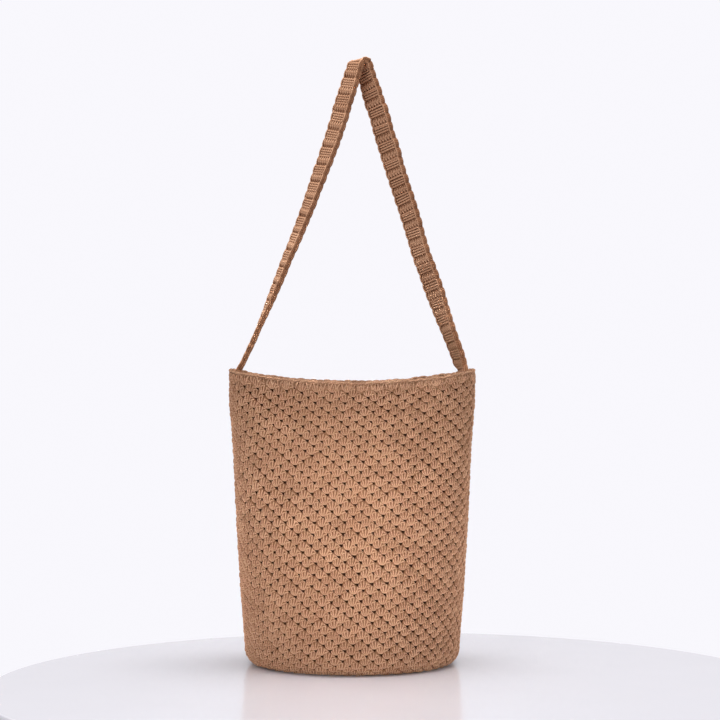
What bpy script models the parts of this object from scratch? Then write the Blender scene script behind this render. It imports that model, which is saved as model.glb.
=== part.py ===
"""Crochet tote bag with one shoulder strap, standing on its round base.

The bag stands on the plane z = 0, +Z up, with the camera side at -Y and the
two strap ends at -X and +X. All sizes are in metres.
"""

import math

import bmesh
import bpy
import numpy as np
from mathutils import Matrix, Vector

# Body of the bag, measured outside the crocheted fabric.
BAG_HEIGHT = 0.2935
RIM_SAG = 0.0115
MOUTH_WIDTH = 0.2440
MOUTH_DEPTH = 0.1330
FOOT_WIDTH = 0.2140
FOOT_DEPTH = 0.2060
FOOT_CORNER_RADIUS = 0.0145
FABRIC_THICKNESS = 0.0048
HIP_HEIGHT = 0.0160

# How fast the rows of the wall take up the sag of the rim, as an exponent of
# the height share.
SAG_POWER = 3

# Flat ring of the wall that lies on the table round the base.
BASE_LAP = 0.0060

# Chain edging on top of the wall.
EDGING_WIDTH = 0.0054
EDGING_HEIGHT = 0.0042
EDGING_BEVEL = 0.0012
EDGING_BEVEL_ANGLE = math.radians(60.0)

# Shoulder strap, one crocheted band.
STRAP_WIDTH = 0.0270
STRAP_THICKNESS = 0.0060
STRAP_RISE = 0.3110
STRAP_TUCK = 0.0350
STRAP_EDGE_BEVEL = 0.0015
STRAP_ROW = 0.0092
ROW_GROOVE = 0.0007
ROW_WAIST = 0.0004
FOLD_RADIUS = 0.0048
FOLD_OFFSET = 0.0075
FOLD_TURN = math.radians(28.0)
FOLD_ARC_END = math.radians(15.0)

# Gap between pieces that touch.
CLEARANCE = 0.0003

# Fineness of the faceted surfaces.
SIDES_ROUND = 64
CORNER_STEPS = 4
OUTLINE_SAMPLES = 1440
PATH_STEPS = 24
FOLD_STATIONS = 5
FOLD_STEP = math.radians(25.0)
SHARP_ANGLE = math.radians(50.0)
DISTANCE_SLACK = 1e-9

# Wall sections from the hip up to the mouth. height_share runs from the hip to
# the top edge, width_share and depth_share from the foot's size to the
# mouth's, and squareness is the exponent of the outline: 2 is an ellipse and
# more is boxier.
WALL_SECTIONS = (
    # height_share, width_share, depth_share, squareness
    (0.00, 0.00, 0.00, 2.00),
    (0.07, 0.08, 0.08, 2.15),
    (0.16, 0.21, 0.19, 2.35),
    (0.27, 0.34, 0.34, 2.55),
    (0.40, 0.48, 0.50, 2.80),
    (0.54, 0.60, 0.65, 3.10),
    (0.68, 0.71, 0.79, 3.40),
    (0.80, 0.84, 0.89, 3.70),
    (0.90, 0.99, 0.96, 3.95),
    (1.00, 1.00, 1.00, 4.10),
)

# Strap stations from the left end, up over the fold and down to the right
# end. side_share is a share of the half span between the sewn ends.
# rise_share is a share of the strap's rise above the rim, and below zero a
# share of the tuck inside the wall. turn is the band's turn about the
# vertical, in degrees.
LEFT_STATIONS = (
    # side_share, rise_share, turn
    (-1.000, -1.000, 0.0),
    (-1.000, -0.550, 0.0),
    (-0.998, -0.080, 0.0),
    (-0.962, 0.020, 4.0),
    (-0.921, 0.052, 3.0),
    (-0.840, 0.116, 3.0),
    (-0.692, 0.246, 12.0),
    (-0.549, 0.376, 16.5),
    (-0.409, 0.505, 22.0),
    (-0.278, 0.635, 27.5),
    (-0.158, 0.765, 33.0),
    (-0.045, 0.895, 32.0),
)
RIGHT_STATIONS = (
    # side_share, rise_share, turn
    (0.178, 0.895, 35.0),
    (0.286, 0.765, 37.0),
    (0.390, 0.635, 37.0),
    (0.501, 0.505, 33.0),
    (0.609, 0.376, 31.0),
    (0.730, 0.246, 32.0),
    (0.857, 0.116, 21.0),
    (0.924, 0.052, 19.0),
    (0.953, 0.020, 17.0),
    (0.978, -0.080, 6.0),
    (1.000, -0.550, 0.0),
    (1.000, -1.000, 0.0),
)

COLLECTION_NAME = "crochet_tote_bag"

# Colours of the yarn by piece, and how matte it is.
WALL_COLOUR = (0.47, 0.27, 0.16)
BASE_COLOUR = (0.44, 0.25, 0.15)
EDGING_COLOUR = (0.50, 0.29, 0.17)
STRAP_COLOUR = (0.46, 0.26, 0.15)
YARN_ROUGHNESS = 0.9

# Sizes that follow from the ones above.
WALL_TOP = BAG_HEIGHT - EDGING_HEIGHT - CLEARANCE
EDGING_CENTRE_INSET = FABRIC_THICKNESS / 2
WALL_FLAT_INSET = FOOT_CORNER_RADIUS + BASE_LAP
EDGING_INNER_INSET = EDGING_CENTRE_INSET + EDGING_WIDTH / 2
STRAP_INSET = EDGING_INNER_INSET + CLEARANCE + STRAP_THICKNESS / 2
STRAP_HALF_SPAN = MOUTH_WIDTH / 2 - STRAP_INSET
STRAP_TOP = BAG_HEIGHT + STRAP_RISE


def clear_scene():
    """Remove every object, so that the model starts from an empty scene."""
    for item in list(bpy.data.objects):
        bpy.data.objects.remove(item, do_unlink=True)


def make_material(name, colour):
    """A plain matte yarn colour."""
    material = bpy.data.materials.new(name)
    material.use_nodes = True
    shader = material.node_tree.nodes["Principled BSDF"]
    shader.inputs["Base Color"].default_value = (*colour, 1.0)
    shader.inputs["Roughness"].default_value = YARN_ROUGHNESS
    shader.inputs["Metallic"].default_value = 0.0
    material.diffuse_color = (*colour, 1.0)
    return material


def add_object(name, mesh, material, collection):
    """Link a mesh as a named object with one material, shaded smooth."""
    mesh.materials.append(material)
    mesh.shade_smooth()
    mesh.set_sharp_from_angle(angle=SHARP_ANGLE)
    item = bpy.data.objects.new(name, mesh)
    collection.objects.link(item)
    return item


def outline(half_width, half_depth, squareness):
    """Points at equal steps round a squared ellipse, with their outward normals.

    The first point is at +X and the points run anticlockwise seen from above.
    """
    angle = np.linspace(0.0, 2.0 * math.pi, OUTLINE_SAMPLES + 1)
    power = 2.0 / squareness
    cosine = np.cos(angle)
    sine = np.sin(angle)
    dense_x = half_width * np.sign(cosine) * np.abs(cosine) ** power
    dense_y = half_depth * np.sign(sine) * np.abs(sine) ** power
    steps = np.hypot(np.diff(dense_x), np.diff(dense_y))
    travelled = np.concatenate(([0.0], np.cumsum(steps)))
    wanted = np.linspace(0.0, travelled[-1], SIDES_ROUND, endpoint=False)
    x = np.interp(wanted, travelled, dense_x)
    y = np.interp(wanted, travelled, dense_y)
    normal_x = np.sign(x) * (np.abs(x) / half_width) ** (squareness - 1.0) / half_width
    normal_y = np.sign(y) * (np.abs(y) / half_depth) ** (squareness - 1.0) / half_depth
    length = np.hypot(normal_x, normal_y)
    return x, y, normal_x / length, normal_y / length


def sag_at(x):
    """How far the rim hangs below its height at the strap ends."""
    across = np.clip(np.abs(x) / (MOUTH_WIDTH / 2), 0.0, 1.0)
    return RIM_SAG * (1.0 - across ** 2)


def bridge_loops(mesh_data, loops):
    """Join closed loops of equal length with quads, each to the next."""
    for lower, upper in zip(loops, loops[1:]):
        for index in range(SIDES_ROUND):
            following = (index + 1) % SIDES_ROUND
            corners = (lower[index], lower[following], upper[following], upper[index])
            mesh_data.faces.new(corners)


def wall_loops(mesh_data):
    """Vertex loops of the wall's outer face, from the base lap to the top."""
    loops = []
    half_width = FOOT_WIDTH / 2
    half_depth = FOOT_DEPTH / 2
    foot_square = WALL_SECTIONS[0][3]
    corner_heights = [0.0]
    corner_insets = [WALL_FLAT_INSET]
    for step in range(CORNER_STEPS + 1):
        bend = 0.5 * math.pi * step / CORNER_STEPS
        corner_insets.append(FOOT_CORNER_RADIUS * (1.0 - math.sin(bend)))
        corner_heights.append(HIP_HEIGHT * (1.0 - math.cos(bend)))
    for inset, height in zip(corner_insets, corner_heights):
        x, y, _, _ = outline(half_width - inset, half_depth - inset, foot_square)
        loops.append([mesh_data.verts.new((*point, height)) for point in zip(x, y)])
    for height_share, width_share, depth_share, squareness in WALL_SECTIONS[1:]:
        width = half_width + (MOUTH_WIDTH / 2 - half_width) * width_share
        depth = half_depth + (MOUTH_DEPTH / 2 - half_depth) * depth_share
        x, y, _, _ = outline(width, depth, squareness)
        height = HIP_HEIGHT + (WALL_TOP - HIP_HEIGHT) * height_share
        z = height - sag_at(x) * height_share ** SAG_POWER
        loops.append([mesh_data.verts.new(point) for point in zip(x, y, z)])
    return loops


def make_wall(material, collection):
    """The crocheted wall: an open loft, thickened inwards."""
    mesh_data = bmesh.new()
    bridge_loops(mesh_data, wall_loops(mesh_data))
    bmesh.ops.recalc_face_normals(mesh_data, faces=mesh_data.faces)
    mesh = bpy.data.meshes.new("bag_wall")
    mesh_data.to_mesh(mesh)
    mesh_data.free()
    wall = add_object("bag_wall", mesh, material, collection)
    solidify = wall.modifiers.new("fabric", "SOLIDIFY")
    solidify.thickness = FABRIC_THICKNESS
    solidify.offset = -1.0
    solidify.use_even_offset = True
    return wall


def make_base(material, collection):
    """The crocheted round that closes the foot, flush with the wall's lap."""
    radius_x = FOOT_WIDTH / 2 - WALL_FLAT_INSET - CLEARANCE
    radius_y = FOOT_DEPTH / 2 - WALL_FLAT_INSET - CLEARANCE
    mesh_data = bmesh.new()
    bmesh.ops.create_cone(
        mesh_data,
        cap_ends=True,
        segments=SIDES_ROUND,
        radius1=1.0,
        radius2=1.0,
        depth=FABRIC_THICKNESS,
        matrix=Matrix.Translation((0.0, 0.0, FABRIC_THICKNESS / 2)),
    )
    bmesh.ops.scale(mesh_data, vec=(radius_x, radius_y, 1.0), verts=mesh_data.verts)
    mesh = bpy.data.meshes.new("bag_base")
    mesh_data.to_mesh(mesh)
    mesh_data.free()
    return add_object("bag_base", mesh, material, collection)


def make_edging(material, collection):
    """The chain edging: a flat ribbon round the mouth, thickened and bevelled."""
    squareness = WALL_SECTIONS[-1][3]
    x, y, normal_x, normal_y = outline(MOUTH_WIDTH / 2, MOUTH_DEPTH / 2, squareness)
    z = WALL_TOP + CLEARANCE - sag_at(x)
    mesh_data = bmesh.new()
    loops = []
    for side in (1.0, -1.0):
        shift = side * EDGING_WIDTH / 2 - EDGING_CENTRE_INSET
        points = zip(x + shift * normal_x, y + shift * normal_y, z)
        loops.append([mesh_data.verts.new(point) for point in points])
    bridge_loops(mesh_data, loops)
    mesh = bpy.data.meshes.new("rim_edging")
    mesh_data.to_mesh(mesh)
    mesh_data.free()
    edging = add_object("rim_edging", mesh, material, collection)
    solidify = edging.modifiers.new("cord_height", "SOLIDIFY")
    solidify.thickness = EDGING_HEIGHT
    solidify.offset = 1.0
    bevel = edging.modifiers.new("round_edges", "BEVEL")
    bevel.width = EDGING_BEVEL
    bevel.segments = 1
    bevel.limit_method = "ANGLE"
    bevel.angle_limit = EDGING_BEVEL_ANGLE
    return edging


def station_point(side_share, rise_share, turn):
    """Centre line point of the strap, with its turn in radians as a fourth value."""
    x = side_share * STRAP_HALF_SPAN
    depth_slip = math.copysign(FOLD_RADIUS * math.sin(FOLD_TURN), side_share)
    if rise_share < 0.0:
        return np.array((x, 0.0, BAG_HEIGHT + rise_share * STRAP_TUCK, math.radians(turn)))
    rise = STRAP_RISE - STRAP_THICKNESS / 2
    z = BAG_HEIGHT + rise_share * rise
    return np.array((x, depth_slip * rise_share, z, math.radians(turn)))


def fold_points():
    """Half round at the top, where the band folds over, in a turned plane."""
    centre_z = STRAP_TOP - STRAP_THICKNESS / 2 - FOLD_RADIUS
    points = []
    for bend in np.linspace(math.pi - FOLD_ARC_END, FOLD_ARC_END, FOLD_STATIONS):
        reach = FOLD_RADIUS * math.cos(bend)
        x = FOLD_OFFSET + reach * math.cos(FOLD_TURN)
        y = reach * math.sin(FOLD_TURN)
        z = centre_z + FOLD_RADIUS * math.sin(bend)
        points.append(np.array((x, y, z, FOLD_TURN)))
    return points


def smooth_path(points):
    """Dense curve through the points, as rows of x, y, z and turn."""
    padded = [2 * points[0] - points[1], *points, 2 * points[-1] - points[-2]]
    rows = []
    for before, start, end, after in zip(padded, padded[1:], padded[2:], padded[3:]):
        for step in range(PATH_STEPS):
            share = step / PATH_STEPS
            linear = (end - before) * share
            square = (2 * before - 5 * start + 4 * end - after) * share ** 2
            cube = (3 * start - before - 3 * end + after) * share ** 3
            rows.append(0.5 * (2 * start + linear + square + cube))
    rows.append(points[-1])
    return np.array(rows)


def strap_sections():
    """Centre, tangent, turn and distance along the strap of each section.

    Sections stand half a row apart, and closer where the band folds.
    """
    left = [station_point(*row) for row in LEFT_STATIONS]
    right = [station_point(*row) for row in RIGHT_STATIONS]
    path = smooth_path([*left, *fold_points(), *right])
    steps = np.linalg.norm(np.diff(path[:, :3], axis=0), axis=1)
    travelled = np.concatenate(([0.0], np.cumsum(steps)))
    rows = max(2, round(travelled[-1] / STRAP_ROW))
    row_length = travelled[-1] / rows
    tangents = np.gradient(path[:, :3], travelled, axis=0)
    sections = []
    last_tangent = None
    next_stop = 0.0
    for point, tangent, distance in zip(path, tangents, travelled):
        direction = Vector(tangent).normalized()
        due = distance >= next_stop - DISTANCE_SLACK
        bent = last_tangent is not None and direction.angle(last_tangent) > FOLD_STEP
        if due:
            next_stop += row_length / 2
        if due or bent:
            sections.append((Vector(point[:3]), direction, point[3], distance / row_length))
            last_tangent = direction
    return sections


def band_ring(centre, tangent, turn, rows_along):
    """Eight corners of the band's section, thinner and narrower between rows."""
    across = Vector((-math.sin(turn), math.cos(turn), 0.0))
    across = (across - across.dot(tangent) * tangent).normalized()
    outward = across.cross(tangent)
    groove = math.cos(math.pi * rows_along) ** 2
    half_width = STRAP_WIDTH / 2 - ROW_WAIST * groove
    half_thick = STRAP_THICKNESS / 2 - ROW_GROOVE * groove
    inner_width = half_width - STRAP_EDGE_BEVEL
    edge_thick = half_thick - STRAP_EDGE_BEVEL
    corners = (
        (half_width, edge_thick),
        (inner_width, half_thick),
        (-inner_width, half_thick),
        (-half_width, edge_thick),
        (-half_width, -edge_thick),
        (-inner_width, -half_thick),
        (inner_width, -half_thick),
        (half_width, -edge_thick),
    )
    return [centre + across * along + outward * out for along, out in corners]


def make_strap(material, collection):
    """The strap: one loft of unlike sections, closed at both sewn ends."""
    mesh_data = bmesh.new()
    rings = []
    for section in strap_sections():
        rings.append([mesh_data.verts.new(corner) for corner in band_ring(*section)])
    for first, second in zip(rings, rings[1:]):
        for index in range(len(first)):
            following = (index + 1) % len(first)
            mesh_data.faces.new((first[index], first[following], second[following], second[index]))
    mesh_data.faces.new(rings[0])
    mesh_data.faces.new(rings[-1])
    bmesh.ops.recalc_face_normals(mesh_data, faces=mesh_data.faces)
    mesh = bpy.data.meshes.new("strap")
    mesh_data.to_mesh(mesh)
    mesh_data.free()
    return add_object("strap", mesh, material, collection)


def build():
    """Make the whole bag in a collection of its own."""
    clear_scene()
    collection = bpy.data.collections.new(COLLECTION_NAME)
    bpy.context.scene.collection.children.link(collection)
    make_wall(make_material("wall_yarn", WALL_COLOUR), collection)
    make_base(make_material("base_yarn", BASE_COLOUR), collection)
    make_edging(make_material("edging_yarn", EDGING_COLOUR), collection)
    make_strap(make_material("strap_yarn", STRAP_COLOUR), collection)


build()
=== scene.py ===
"""Crochet tote bag with a shoulder strap, dressed stitch by stitch.

A stitch is charted flat, as a few strands of yarn in millimetres: x runs along
the row, y up the rows, and out is the height above the middle of the fabric.
Geometry Nodes repeat the chart in rows and bend the rows over a guide surface
that runs through the middle of the fabric.
"""

import math
from functools import partial

import bpy
import numpy as np
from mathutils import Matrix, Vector


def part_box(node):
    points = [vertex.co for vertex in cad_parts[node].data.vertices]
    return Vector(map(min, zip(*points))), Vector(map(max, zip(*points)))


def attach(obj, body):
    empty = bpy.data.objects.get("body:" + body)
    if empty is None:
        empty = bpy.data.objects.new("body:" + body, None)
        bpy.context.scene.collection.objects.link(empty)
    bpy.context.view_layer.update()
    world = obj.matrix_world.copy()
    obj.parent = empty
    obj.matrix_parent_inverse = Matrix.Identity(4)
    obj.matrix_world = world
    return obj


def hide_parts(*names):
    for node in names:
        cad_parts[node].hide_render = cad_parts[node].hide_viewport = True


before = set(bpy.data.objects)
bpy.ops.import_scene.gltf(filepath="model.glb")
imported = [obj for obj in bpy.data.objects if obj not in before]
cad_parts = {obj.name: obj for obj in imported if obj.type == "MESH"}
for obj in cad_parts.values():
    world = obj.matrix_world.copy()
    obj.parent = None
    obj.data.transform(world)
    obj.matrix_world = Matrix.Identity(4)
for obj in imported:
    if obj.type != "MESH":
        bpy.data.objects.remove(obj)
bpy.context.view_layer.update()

bl_info = {
    "name": "Crochet tote bag",
    "version": (1, 0, 0),
    "blender": (4, 5, 0),
    "location": "View3D > Sidebar > Tote",
    "description": "Makes a crocheted tote bag and its shoulder strap, stitch by stitch",
    "category": "Add Mesh",
}

BODY = "root"
MM = 0.001

# Fineness of outlines, guide surfaces and the floor.
OUTLINE_SAMPLES = 2881
CORNER_STEPS = 12
SECTION_STEPS = 4
WALL_COLUMNS = 192
RIM_COLUMNS = 288
PATH_STEPS = 24
FOLD_STATIONS = 5
STRAP_SAMPLES = 520
STRAP_COLUMNS = 9
FLOOR_STEPS = 256

# How far the guide surfaces reach past the stitches: the wall's by rows, and the
# strap's sideways by a share of its width from its middle.
ROWS_BELOW = 1.0
ROWS_ABOVE = 1.5
ROW_ABOVE_RIM = 0.0046
RIM_REACH = 0.014
GUIDE_SPARE = 0.008
STRAP_REACH = 0.6

# Details of the wall and the fold that the settings don't hold.
LAP_INSETS = (0.0300, 0.0205, 0.0175)
FOOT_SLACK = 0.003
TOP_SPARE = 0.010
SAG_POWER = 3
EDGING_HALF_WIDTH = 0.0027
CLEARANCE = 0.0003
FOLD_ARC_END = 15.0
LEAST_HEIGHT = 0.0002

# Wall sections from the hip up to the mouth. height_share runs from the hip to
# the top edge, width_share and depth_share from the foot's size to the
# mouth's, and squareness is the exponent of the outline.
WALL_SECTIONS = (
    # height_share, width_share, depth_share, squareness
    (0.00, 0.00, 0.00, 2.00),
    (0.07, 0.08, 0.08, 2.15),
    (0.16, 0.21, 0.19, 2.35),
    (0.27, 0.34, 0.34, 2.55),
    (0.40, 0.48, 0.50, 2.80),
    (0.54, 0.60, 0.65, 3.10),
    (0.68, 0.71, 0.79, 3.40),
    (0.80, 0.84, 0.89, 3.70),
    (0.90, 0.99, 0.96, 3.95),
    (1.00, 1.00, 1.00, 4.10),
)

# Height of a row of stitches and the slope of the rows at the front, by
# height above the floor.
ROW_GAUGE = (
    # height_mm, row_mm, slope_degrees
    (0.0, 5.00, 0.0),
    (36.0, 5.15, 1.6),
    (74.0, 5.30, 1.8),
    (112.0, 5.45, 1.7),
    (150.0, 5.45, 1.0),
    (188.0, 5.35, 0.0),
    (226.0, 4.85, 0.3),
    (259.0, 4.60, 1.2),
    (290.0, 4.60, 0.0),
)

# Strap stations from the left end, up over the fold and down to the right
# end. side_share is a share of the half span between the sewn ends.
# rise_share is a share of the strap's rise above the rim, and below zero a
# share of the tuck inside the wall. turn is the band's turn about the
# vertical, in degrees.
LEFT_STATIONS = (
    # side_share, rise_share, turn
    (-1.000, -1.000, 0.0),
    (-1.000, -0.550, 0.0),
    (-0.998, -0.080, 0.0),
    (-0.962, 0.020, 4.0),
    (-0.921, 0.052, 3.0),
    (-0.840, 0.116, 3.0),
    (-0.692, 0.246, 12.0),
    (-0.549, 0.376, 16.5),
    (-0.409, 0.505, 22.0),
    (-0.278, 0.635, 27.5),
    (-0.158, 0.765, 33.0),
    (-0.045, 0.895, 32.0),
)
RIGHT_STATIONS = (
    # side_share, rise_share, turn
    (0.178, 0.895, 35.0),
    (0.286, 0.765, 37.0),
    (0.390, 0.635, 37.0),
    (0.501, 0.505, 33.0),
    (0.609, 0.376, 31.0),
    (0.730, 0.246, 32.0),
    (0.857, 0.116, 21.0),
    (0.924, 0.052, 19.0),
    (0.953, 0.020, 17.0),
    (0.978, -0.080, 6.0),
    (1.000, -0.550, 0.0),
    (1.000, -1.000, 0.0),
)

# Strands of the wall's stitch, round the hole that its legs rise from. Every
# row is start, middle and end of a strand, each as x, y, out, in millimetres.
# Behind the strands lies a mat: its size or what it adds to the stitch's, its
# top and bottom levels, and the low, right, high and left corners of its pit.
# A thin web closes the pit, and the painted hollow shade makes it nearly black
# in place of the shade seen through the hole.
FAN_LEGS = (
    ((-1.4, 1.3, 0.6), (-3.3, 3.3, 1.4), (-3.9, 5.6, 0.9)),
    ((-0.8, 1.0, 0.9), (-1.7, 4.6, 2.0), (-2.2, 8.0, 0.9)),
    ((0.2, 0.9, 1.0), (0.7, 4.8, 2.1), (1.0, 8.5, 0.8)),
    ((1.2, 1.2, 0.7), (3.0, 4.2, 1.8), (3.7, 7.5, 0.9)),
)
FAN_CHAIN = (
    ((2.1, 2.1, 0.7), (4.7, 3.2, 1.6), (7.3, 4.1, 0.7)),
    ((3.6, 5.5, 0.8), (5.1, 6.1, 1.6), (6.2, 5.2, 0.7)),
)
FAN_PIT = ((0.9, -2.6), (2.1, 0.5), (0.0, 1.1), (-2.2, 0.7))
FAN_MAT_SPARE = (0.8, 0.6)
FAN_LEVELS = (0.85, -0.9)
FAN_BACK = (
    ((-3.6, -0.6, -1.0), (0.0, 0.1, -1.5), (3.6, 0.5, -1.0)),
    ((3.4, 2.2, -1.0), (7.2, 3.0, -1.5), (10.8, 2.9, -1.0)),
)

# Strands of the base's stitch, which stands alone.
ROUND_LEGS = (
    ((-0.1, 0.8, -0.4), (-1.7, 3.6, 1.3), (-2.3, 6.4, 0.4)),
    ((0.3, 0.8, -0.4), (1.9, 3.6, 1.3), (2.5, 6.4, 0.4)),
)
ROUND_CHAIN = (
    ((-3.9, 6.3, 0.0), (0.0, 7.4, 1.2), (3.7, 6.5, 0.0)),
)
ROUND_PIT = ((0.0, -0.8), (0.8, 0.0), (0.0, 0.8), (-0.8, 0.0))
ROUND_MAT = (9.0, 8.8)
ROUND_LEVELS = (0.9, -0.9)
ROUND_BACK = (
    ((-3.7, 2.9, -0.6), (0.0, 3.4, -1.3), (3.7, 2.7, -0.6)),
    ((-3.7, 5.2, -0.4), (0.0, 5.6, -1.1), (3.7, 5.0, -0.4)),
)

# Strands of one link of the chain edging.
LINK_STRANDS = (
    ((-0.8, -0.9, 0.6), (3.0, 0.7, 1.8), (8.2, 0.1, 0.3)),
    ((-0.4, -0.7, -0.6), (3.4, 0.8, -1.7), (8.2, -0.2, -0.5)),
    ((-0.4, -0.9, 0.1), (3.4, -1.0, 0.0), (7.6, -0.9, -0.1)),
)
LINK_POSTS = (
    ((0.2, -6.6, 0.6), (0.9, -4.2, 1.8), (2.2, -1.6, 1.2)),
    ((5.6, -6.4, 0.6), (5.2, -4.0, 1.7), (4.6, -1.4, 1.2)),
    ((0.2, -6.6, -0.6), (0.9, -4.2, -1.6), (2.2, -1.6, -1.2)),
    ((5.6, -6.4, -0.6), (5.2, -4.0, -1.5), (4.6, -1.4, -1.2)),
)
LINK_PIT = ((0.1, 1.4), (1.5, 2.6), (-0.2, 3.4), (-1.6, 2.5))
LINK_MAT = (7.6, 8.6)
LINK_LEVELS = (1.0, -1.0)
LINK_MAT_PLACE = (3.4, -5.0)

# Strands of one of the strap's stitches in its two rows, seen on the outer
# face, and the border that runs along each edge of the band.
STRAP_LEGS = (
    ((-0.3, 0.7, 0.2), (-1.1, 4.2, 1.9), (-1.6, 7.8, 0.8)),
    ((0.5, 0.9, 0.2), (1.3, 4.2, 1.9), (2.1, 7.8, 0.8)),
)
STRAP_BARS = (
    ((-2.6, 8.4, 0.6), (0.1, 9.2, 1.8), (2.7, 8.7, 0.6)),
    ((-2.5, 11.1, 0.6), (0.0, 11.7, 1.6), (2.6, 11.1, 0.6)),
    ((-2.7, 13.6, 0.6), (0.0, 14.2, 1.8), (2.6, 13.6, 0.6)),
    ((-2.6, 16.0, 0.5), (0.0, 16.6, 1.7), (2.6, 16.2, 0.5)),
)
STRAP_BORDER = (
    ((11.9, -1.0, 1.5), (13.4, 3.6, 1.9), (12.0, 8.8, 1.4)),
    ((11.9, 8.0, 1.4), (13.3, 12.8, 1.9), (12.0, 18.2, 1.5)),
)
STRAP_EDGE = (
    ((12.3, -1.2, 0.1), (13.3, 4.6, 0.3), (12.2, 9.6, -0.1)),
    ((12.2, 8.4, 0.1), (13.3, 13.8, -0.3), (12.3, 18.6, 0.0)),
)
STRAP_PIT = ((-0.9, -1.3), (0.8, -0.5), (0.9, 1.2), (-0.8, 0.5))
STRAP_PLACES = (-9.2, -4.6, 0.0, 4.6, 9.2)
STRAP_MAT_WIDTH = 5.4
STRAP_MAT_SPARE = 0.2
STRAP_LEVELS = (0.7, -0.7)

# Layers of the wall's stitch.
FAN_LAYERS = (
    # strands, share of the yarn's radius, segments, sides
    (FAN_LEGS, 0.84, 3, 5),
    (FAN_CHAIN, 0.82, 2, 5),
    (FAN_BACK, 1.1, 2, 4),
)

# Strands of the edging and of the strap's border: radii, and the least height
# that the painted hollow shade takes for those at an edge. BAR_SHARE is a share of the yarn's radius.
LINK_RADIUS = 1.2
LINK_LIFT = 1.2
BORDER_RADIUS = 1.15
EDGE_RADIUS = 1.2
BORDER_LIFT = 1.1
BAR_SHARE = 1.2
# Height of the web that closes each mat's pit, so low that the painted hollow shade makes it nearly
# black.
WEB_LEVEL = 0.1

# Spiral of the base, spacing of the edging's links, bands that the wall is made
# in, and what each piece adds to the seed.
BASE_SPACING = 0.0073
BASE_ROW = 0.0069
BASE_EDGE_SHARE = 0.3
LINK_SPACING = 0.0070
WALL_BANDS = 5
BAND_SEED = 10
RIM_SEED = 3
STRAP_SEED = 5
STRAP_EVENNESS = 0.4

# Painted light: each piece's yarn is made lighter or darker for the light that its piece gets.
PAINTED_LIGHT = {"base_yarn": 0.95, "wall_yarn": 1.0, "edging_yarn": 0.92, "strap_yarn": 1.36}

# Look of the yarn. The noises hold cells in a metre, detail and spread on the
# colour ramp, and the plies their twist along a strand, number and spread.
# The lifts are the heights at which the painted hollow shade is darkest and
# where it gives way to full colour, and the falls how fast green and blue
# darken in that painted shade.
BLOTCH = (55.0, 3.0, 0.2)
FIBRE = (1900.0, 2.0, 0.9)
PLY_TWIST = 0.42
PLY_COUNT = 2.0
PLY_SPREAD = 0.15
TONE_SPREAD = 0.24
TONE_START = 0.38
RAMP_PLACES = (0.1, 0.5, 0.9)
SHADE_LIFTS = (0.4 * MM, 1.5 * MM)
SHADE_FALLS = (1.25, 1.45)
PLY_RELIEF = 0.5
FIBRE_RELIEF = 1.2
RELIEF = {"Strength": 0.8, "Distance": 0.0003}
FINISH = {"Roughness": 0.92, "Specular IOR Level": 0.18, "Sheen Roughness": 0.55}

# Lights of the studio. setting names the one that holds the power, and spread is
# the beam in degrees.
LIGHTS = (
    # name, setting, size, place, target, spread
    ("key_light", "key_power", 1.2, (-0.9, -1.9, 1.3), (0.0, 0.0, 0.2), 180.0),
    ("front_light", "front_power", 0.3, (0.0, -2.3, 0.5), (0.0, -0.1, 0.148), 11.0),
    ("top_light", "top_power", 1.0, (0.1, 0.1, 1.6), (0.0, 0.0, 0.2), 180.0),
)
CAMERA_PLACE = (0.0078, -2.10, 0.298)
PHOTO_WIDTH = 720.0
VIEW_SHIFT_PIXELS = 4.5

# Floor, with its rounded edge as shares of its radius and heights.
FLOOR_CENTRE = (0.0387, -0.1399)
FLOOR_EDGE = ((0.994, 0.0), (0.998, -0.0008), (1.0, -0.0025), (1.0, -0.016))
FLOOR_NOISE = 9.0
FLOOR_ROUGHNESS = (0.12, 0.18)


def add_object(name, data):
    """A new object in the scene."""
    item = bpy.data.objects.new(name, data)
    bpy.context.scene.collection.objects.link(item)
    return item


def smooth_rows(points, steps):
    """Dense smooth curve through rows of numbers."""
    points = [np.array(point, dtype=float) for point in points]
    padded = [2 * points[0] - points[1], *points, 2 * points[-1] - points[-2]]
    rows = []
    for before, start, end, after in zip(padded, padded[1:], padded[2:], padded[3:]):
        for step in range(steps):
            share = step / steps
            linear = (end - before) * share
            square = (2 * before - 5 * start + 4 * end - after) * share ** 2
            cube = (3 * start - before - 3 * end + after) * share ** 3
            rows.append(0.5 * (2 * start + linear + square + cube))
    rows.append(points[-1])
    return np.array(rows)


def travelled_along(points):
    """Distance along a run of points to each of them."""
    steps = np.linalg.norm(np.diff(points, axis=0), axis=1)
    return np.concatenate(([0.0], np.cumsum(steps)))


def squared_outline(half_width, half_depth, squareness, count):
    """Points at equal steps round a squared ellipse, from the back seam anticlockwise."""
    angle = np.linspace(0.5 * math.pi, 2.5 * math.pi, OUTLINE_SAMPLES)
    power = 2.0 / squareness
    x = half_width * np.sign(np.cos(angle)) * np.abs(np.cos(angle)) ** power
    y = half_depth * np.sign(np.sin(angle)) * np.abs(np.sin(angle)) ** power
    travelled = travelled_along(np.column_stack((x, y)))
    wanted = np.linspace(0.0, travelled[-1], count + 1)
    return np.interp(wanted, travelled, x), np.interp(wanted, travelled, y)


def surface_normals(grid):
    """Outward unit normals of a grid of points whose rows close on themselves."""
    along = np.gradient(grid, axis=1)
    turn = 0.5 * (grid[:, 1] - grid[:, -2])
    along[:, 0] = turn
    along[:, -1] = turn
    up = np.gradient(grid, axis=0)
    normals = np.cross(along, up)
    return normals / np.linalg.norm(normals, axis=2, keepdims=True)


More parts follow.
